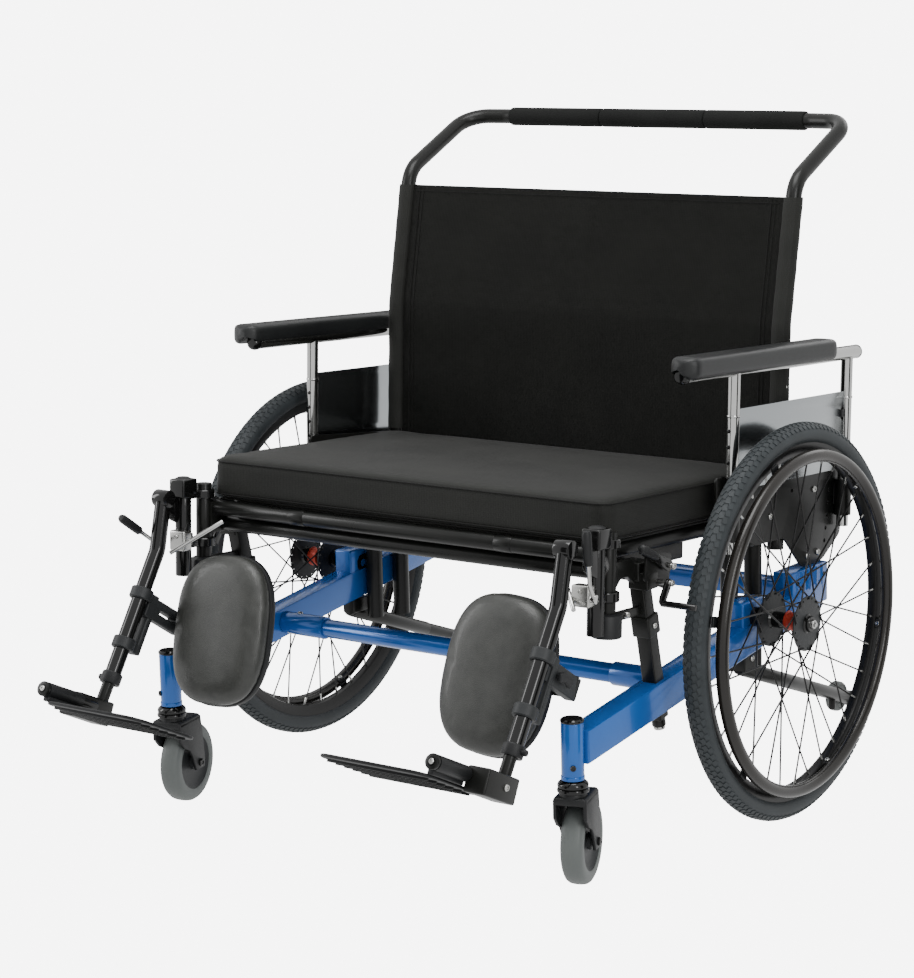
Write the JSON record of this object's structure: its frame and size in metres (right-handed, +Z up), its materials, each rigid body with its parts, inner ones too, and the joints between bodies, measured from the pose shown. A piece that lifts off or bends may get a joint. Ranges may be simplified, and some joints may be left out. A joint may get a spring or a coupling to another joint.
{
  "type": "manual wheelchair",
  "caption": "Wide manual wheelchair: padded seat between height-adjustable arms, large spoked wheels with handrims, casters, swing-away elevating leg rests and a push bar.",
  "frame": {"origin": "on the floor under the middle of the whole chair", "axes": "+Z up, the chair faces -Y, +X is the side of the leg rest whose release lever stands upright"},
  "size_m": [1.013, 1.1679, 1.0543],
  "materials": {
    "blue_paint": "gloss",
    "black_paint": "satin",
    "chrome": "polished",
    "aluminium": "polished",
    "tyre": "matt",
    "grey_tyre": "matt",
    "black_plastic": "satin",
    "vinyl": "grained",
    "foam": "matt",
    "fabric": "woven"
  },
  "bodies": {
    "chair": {"anti_tip_tube_left": "black_paint", "anti_tip_tube_right": "black_paint", "back_frame": "black_paint", "back_upholstery": "fabric", "base_beam_left": "blue_paint", "base_beam_right": "blue_paint", "base_cross_tube": "blue_paint", "base_rear_tube": "blue_paint", "push_grip": "foam", "rear_plate_left": "black_paint", "rear_plate_right": "black_paint", "seat_cushion": "fabric", "seat_front_tube": "black_paint", "seat_pan": "fabric", "seat_post_left": "black_paint", "seat_post_right": "black_paint", "seat_rail_left": "black_paint", "seat_rail_right": "black_paint", "seat_rear_tube": "black_paint"},
    "wheel_left": {"tyre_left": "tyre", "rim_left": "black_paint", "hub_left": "black_paint", "handrim_left": "black_paint"},
    "tip_wheel_left": {"anti_tip_wheel_left": "grey_tyre"},
    "caster_swivel_left": {"caster_fork_left": "black_plastic"},
    "caster_roller_left": {"caster_wheel_left": "grey_tyre"},
    "arm_left": {"arm_frame_left": "chrome", "arm_pad_left": "vinyl", "skirt_panel_left": "aluminium"},
    "lock_lever_left": {"brake_lever_left": "black_paint"},
    "lock_shoe_left": {"brake_shoe_left": "black_paint"},
    "hanger_left": {"legrest_hanger_left": "black_paint"},
    "leg_left": {"leg_tube_left": "black_paint"},
    "lock_rod_left": {"elevation_rod_left": "chrome"},
    "release_left": {"release_lever_left": "chrome"},
    "calf_left": {"calf_bracket_left": "black_plastic", "calf_pad_left": "vinyl"},
    "foot_left": {"foot_tube_left": "black_plastic"},
    "plate_left": {"footplate_left": "black_plastic"},
    "wheel_right": {"tyre_right": "tyre", "rim_right": "black_paint", "hub_right": "black_paint", "handrim_right": "black_paint"},
    "tip_wheel_right": {"anti_tip_wheel_right": "grey_tyre"},
    "caster_swivel_right": {"caster_fork_right": "black_plastic"},
    "caster_roller_right": {"caster_wheel_right": "grey_tyre"},
    "arm_right": {"arm_frame_right": "chrome", "arm_pad_right": "vinyl", "skirt_panel_right": "aluminium"},
    "lock_lever_right": {"brake_lever_right": "black_paint"},
    "lock_shoe_right": {"brake_shoe_right": "black_paint"},
    "hanger_right": {"legrest_hanger_right": "black_paint"},
    "leg_right": {"leg_tube_right": "black_paint"},
    "lock_rod_right": {"elevation_rod_right": "chrome"},
    "release_right": {"release_lever_right": "chrome"},
    "calf_right": {"calf_bracket_right": "black_plastic", "calf_pad_right": "vinyl"},
    "foot_right": {"foot_tube_right": "black_plastic"},
    "plate_right": {"footplate_right": "black_plastic"}
  },
  "joints": [
    {"name": "wheel_left_spin", "type": "hinge", "parent": "chair", "child": "wheel_left", "pos_m": [0.466, 0.206, 0.305], "axis": [1, 0, 0], "continuous": true},
    {"name": "tip_wheel_left_spin", "type": "hinge", "parent": "chair", "child": "tip_wheel_left", "pos_m": [0.3595, 0.544, 0.094], "axis": [1, 0, 0], "continuous": true},
    {"name": "caster_left_swivel", "type": "hinge", "parent": "chair", "child": "caster_swivel_left", "pos_m": [0.379, -0.272, 0.166], "axis": [0, 0, 1], "continuous": true},
    {"name": "caster_left_roll", "type": "hinge", "parent": "caster_swivel_left", "child": "caster_roller_left", "pos_m": [0.36662, -0.23344, 0.0635], "axis": [0.9521, 0.3057, 0], "continuous": true},
    {"name": "arm_left_height", "type": "slide", "parent": "chair", "child": "arm_left", "axis": [0, 0.0576, 0.9983], "range_m": [0, 0.06]},
    {"name": "lock_lever_left_turn", "type": "hinge", "parent": "chair", "child": "lock_lever_left", "pos_m": [0.412, -0.062, 0.438], "axis": [1, 0, 0], "range_deg": [0, 38]},
    {"name": "lock_shoe_left_turn", "type": "hinge", "parent": "chair", "child": "lock_shoe_left", "pos_m": [0.424, -0.084, 0.418], "axis": [1, 0, 0], "range_deg": [0, 19.01]},
    {"name": "legrest_left_swing", "type": "hinge", "parent": "chair", "child": "hanger_left", "pos_m": [0.38, -0.17537, 0.46699], "axis": [0, 0.0576, 0.9983], "range_deg": [0, 90]},
    {"name": "legrest_left_raise", "type": "hinge", "parent": "hanger_left", "child": "leg_left", "pos_m": [0.374, -0.27505, 0.49798], "axis": [-1, 0, 0], "range_deg": [0, 55]},
    {"name": "lock_rod_left_slide", "type": "slide", "parent": "hanger_left", "child": "lock_rod_left", "axis": [0.6222, -0.6197, -0.4784], "range_m": [0, 0.054]},
    {"name": "release_left_turn", "type": "hinge", "parent": "hanger_left", "child": "release_left", "pos_m": [0.4055, -0.25089, 0.42527], "axis": [1, 0, 0], "range_deg": [0, 50]},
    {"name": "calf_pad_left_turn", "type": "hinge", "parent": "leg_left", "child": "calf_left", "pos_m": [0.374, -0.3567, 0.3235], "axis": [0, 0.5446, 0.8387], "range_deg": [0, 35]},
    {"name": "foot_tube_left_length", "type": "slide", "parent": "leg_left", "child": "foot_left", "axis": [0, -0.5446, -0.8387], "range_m": [0, 0.07]},
    {"name": "footplate_left_flip", "type": "hinge", "parent": "foot_left", "child": "plate_left", "pos_m": [0.357, -0.51948, 0.23955], "axis": [0, 0.8988, -0.4384], "range_deg": [0, 90]},
    {"name": "wheel_right_spin", "type": "hinge", "parent": "chair", "child": "wheel_right", "pos_m": [-0.466, 0.206, 0.305], "axis": [1, 0, 0], "continuous": true},
    {"name": "tip_wheel_right_spin", "type": "hinge", "parent": "chair", "child": "tip_wheel_right", "pos_m": [-0.3595, 0.544, 0.094], "axis": [1, 0, 0], "continuous": true},
    {"name": "caster_right_swivel", "type": "hinge", "parent": "chair", "child": "caster_swivel_right", "pos_m": [-0.379, -0.272, 0.166], "axis": [0, 0, 1], "continuous": true},
    {"name": "caster_right_roll", "type": "hinge", "parent": "caster_swivel_right", "child": "caster_roller_right", "pos_m": [-0.38749, -0.2324, 0.0635], "axis": [0.9778, 0.2096, 0], "continuous": true},
    {"name": "arm_right_height", "type": "slide", "parent": "chair", "child": "arm_right", "axis": [0, 0.0576, 0.9983], "range_m": [0, 0.06]},
    {"name": "lock_lever_right_turn", "type": "hinge", "parent": "chair", "child": "lock_lever_right", "pos_m": [-0.412, -0.062, 0.438], "axis": [1, 0, 0], "range_deg": [0, 38]},
    {"name": "lock_shoe_right_turn", "type": "hinge", "parent": "chair", "child": "lock_shoe_right", "pos_m": [-0.424, -0.084, 0.418], "axis": [1, 0, 0], "range_deg": [0, 19.01]},
    {"name": "legrest_right_swing", "type": "hinge", "parent": "chair", "child": "hanger_right", "pos_m": [-0.38, -0.17537, 0.46699], "axis": [0, -0.0576, -0.9983], "range_deg": [0, 90]},
    {"name": "legrest_right_raise", "type": "hinge", "parent": "hanger_right", "child": "leg_right", "pos_m": [-0.374, -0.27505, 0.49798], "axis": [-1, 0, 0], "range_deg": [0, 55]},
    {"name": "lock_rod_right_slide", "type": "slide", "parent": "hanger_right", "child": "lock_rod_right", "axis": [-0.6222, -0.6197, -0.4784], "range_m": [0, 0.054]},
    {"name": "release_right_turn", "type": "hinge", "parent": "hanger_right", "child": "release_right", "pos_m": [-0.4055, -0.25089, 0.42527], "axis": [1, 0, 0], "range_deg": [-50, 0]},
    {"name": "calf_pad_right_turn", "type": "hinge", "parent": "leg_right", "child": "calf_right", "pos_m": [-0.374, -0.3567, 0.3235], "axis": [0, -0.5446, -0.8387], "range_deg": [0, 35]},
    {"name": "foot_tube_right_length", "type": "slide", "parent": "leg_right", "child": "foot_right", "axis": [0, -0.5446, -0.8387], "range_m": [0, 0.07]},
    {"name": "footplate_right_flip", "type": "hinge", "parent": "foot_right", "child": "plate_right", "pos_m": [-0.357, -0.51948, 0.23955], "axis": [0, -0.8988, 0.4384], "range_deg": [0, 90]}
  ],
  "couplings": [
    {"joint": "lock_shoe_left_turn", "follows": "lock_lever_left_turn", "ratio": 0.5},
    {"joint": "lock_rod_left_slide", "follows": "legrest_left_raise", "m_per_rad": 0.056},
    {"joint": "lock_shoe_right_turn", "follows": "lock_lever_right_turn", "ratio": 0.5},
    {"joint": "lock_rod_right_slide", "follows": "legrest_right_raise", "m_per_rad": 0.056}
  ]
}
